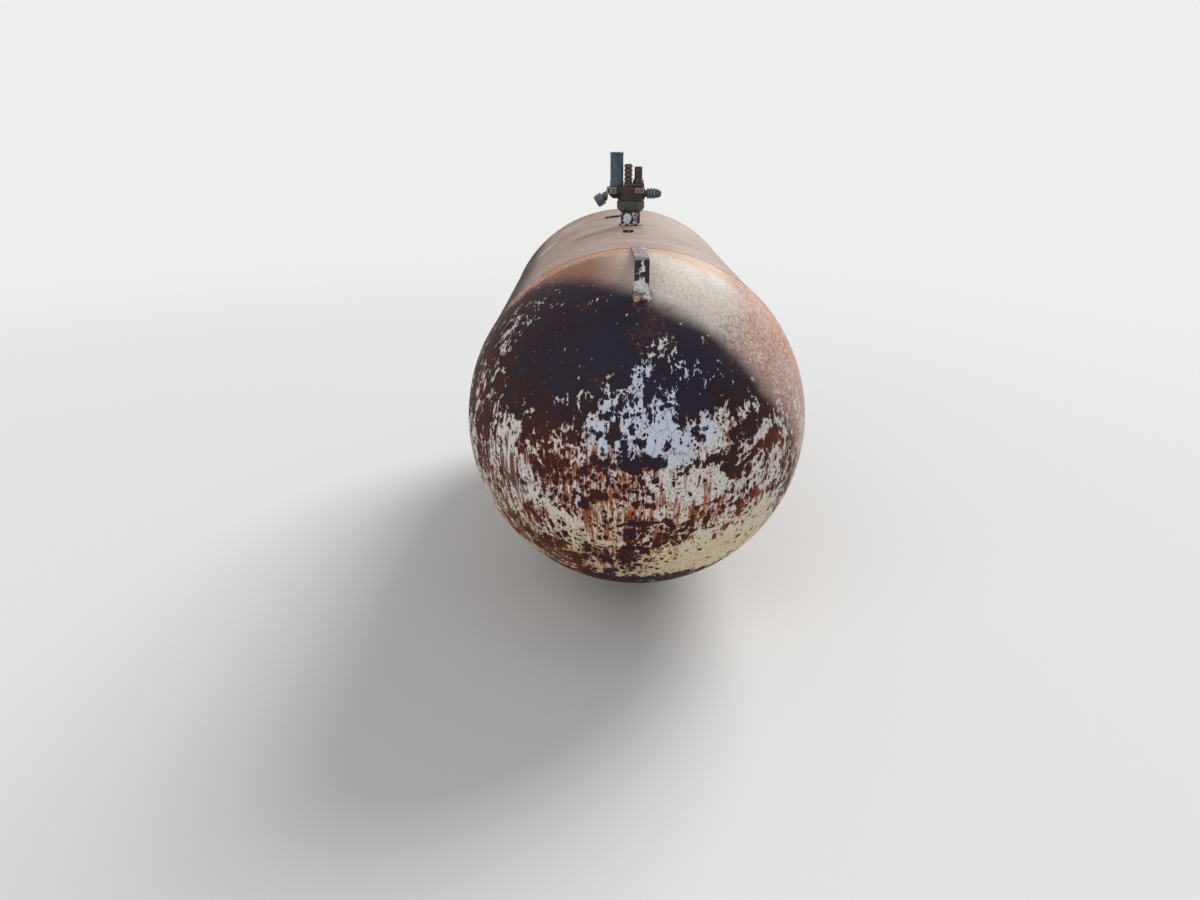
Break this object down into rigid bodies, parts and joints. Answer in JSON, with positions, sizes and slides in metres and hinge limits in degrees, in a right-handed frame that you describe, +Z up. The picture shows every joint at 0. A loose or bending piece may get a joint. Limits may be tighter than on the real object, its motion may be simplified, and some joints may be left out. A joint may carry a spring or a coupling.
{
  "type": "horizontal pressure tank",
  "caption": "Horizontal gas pressure tank: rolled shell, hemispherical heads, bent-strap lifting lugs, short welded legs and a cluster of capped valves on the crown.",
  "frame": {"origin": "on the ground, under the middle of the tank's axis and length", "axes": "+Z up, Y along the tank's axis with the near head (the one in the picture) at -Y, +X to the right seen from the near head"},
  "size_m": [1.044, 2.44, 1.394],
  "materials": {
    "tank_paint": "weathered cream-white paint, flaking over brown and orange rust",
    "leg_paint": "weathered white paint over rust",
    "weld_rust": "orange-brown rusted weld",
    "lug_rust": "dark rusted steel with chips of white paint",
    "coupling_rust": "rusted steel",
    "valve_brass": "dull weathered brass, greenish grey",
    "valve_zinc": "dull grey-blue weathered plating",
    "valve_brown": "brown rusted casting"
  },
  "bodies": {
    "root": {"shell": "tank_paint", "near_head": "tank_paint", "far_head": "tank_paint", "near_girth_weld": "weld_rust", "far_girth_weld": "weld_rust", "long_seam_weld": "weld_rust", "near_lifting_lug": "lug_rust", "far_lifting_lug": "lug_rust", "near_lug_welds": "weld_rust", "far_lug_welds": "weld_rust", "near_left_leg": "leg_paint", "near_right_leg": "leg_paint", "far_left_leg": "leg_paint", "far_right_leg": "leg_paint", "near_left_foot": "leg_paint", "near_right_foot": "leg_paint", "far_left_foot": "leg_paint", "far_right_foot": "leg_paint", "near_left_pad": "leg_paint", "near_right_pad": "leg_paint", "far_left_pad": "leg_paint", "far_right_pad": "leg_paint", "valve_coupling": "coupling_rust", "coupling_weld": "weld_rust", "valve_hexagon": "valve_brass", "valve_body": "valve_brown", "bonnet_plate": "valve_brown", "relief_valve_nut": "valve_zinc", "relief_valve_stack": "valve_zinc", "gauge_stem": "valve_brass", "service_valve_nut": "valve_brown", "service_valve": "valve_brown", "filler_neck": "valve_brass", "filler_cap": "valve_zinc", "vapour_neck": "valve_brass", "vapour_cap": "valve_zinc", "left_port_plate": "valve_brass", "right_port_plate": "valve_brass", "bonnet_screws": "valve_brown", "hood_hinge_strip": "lug_rust", "hood_latch_tab": "lug_rust"}
  },
  "joints": []
}
